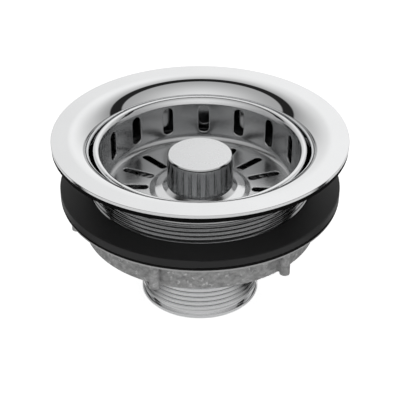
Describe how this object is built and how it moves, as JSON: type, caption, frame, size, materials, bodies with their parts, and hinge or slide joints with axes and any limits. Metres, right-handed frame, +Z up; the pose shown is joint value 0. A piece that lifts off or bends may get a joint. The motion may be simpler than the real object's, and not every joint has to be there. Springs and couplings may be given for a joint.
{
  "type": "sink basket strainer waste",
  "caption": "Kitchen sink waste: polished flange and threaded bowl with gasket and ribbed locknut, threaded outlet, and a slotted lift-out basket with a fluted knob.",
  "frame": {"origin": "on the axis, at the underside of the steel flange, where its seal lies", "axes": "+Z up along the waste's axis, out of the bowl; -Z towards the outlet; +X and +Y across it"},
  "size_m": [0.1142, 0.1142, 0.0717],
  "materials": {
    "polished_steel": "mirror-polished stainless steel",
    "seal_foam": "black closed-cell foam",
    "outlet_chrome": "bright plated thread",
    "gasket_rubber": "matte black moulded rubber",
    "washer_fibre": "dark pressed fibre",
    "cast_zinc": "raw die-cast zinc, mottled grey",
    "satin_steel": "bright drawn stainless steel, satin inside",
    "knob_chrome": "satin plated moulding",
    "insert_brass": "turned brass",
    "turned_steel": "turned stainless steel",
    "stopper_rubber": "smooth black rubber",
    "spring_steel": "bright spring steel"
  },
  "bodies": {
    "body": {"strainer_body": "polished_steel", "flange_seal": "seal_foam", "outlet_spigot": "outlet_chrome"},
    "clip": {"spring_clip": "spring_steel"},
    "basket": {"basket": "satin_steel", "knob": "knob_chrome", "knob_insert": "insert_brass", "stopper": "stopper_rubber", "stopper_washer": "turned_steel", "stem": "turned_steel", "stem_ring": "spring_steel"},
    "clamp_rings": {"rubber_gasket": "gasket_rubber", "friction_washer": "washer_fibre"},
    "locknut": {"locknut": "cast_zinc"}
  },
  "joints": [
    {"name": "basket_lift", "type": "slide", "parent": "body", "child": "clip", "axis": [0, 0, 1], "range_m": [-0.0082, 0.06]},
    {"name": "basket_turn", "type": "hinge", "parent": "clip", "child": "basket", "pos_m": [0, 0, 0], "axis": [0, 0, 1], "continuous": true},
    {"name": "clamp_travel", "type": "slide", "parent": "body", "child": "clamp_rings", "axis": [0, 0, 1], "range_m": [-0.0082, 0.0132]},
    {"name": "locknut_turn", "type": "hinge", "parent": "clamp_rings", "child": "locknut", "pos_m": [0, 0, 0], "axis": [0, 0, 1], "range_deg": [-1620, 2610]}
  ],
  "couplings": [
    {"joint": "clamp_travel", "follows": "locknut_turn", "m_per_rad": 0.00028875}
  ]
}
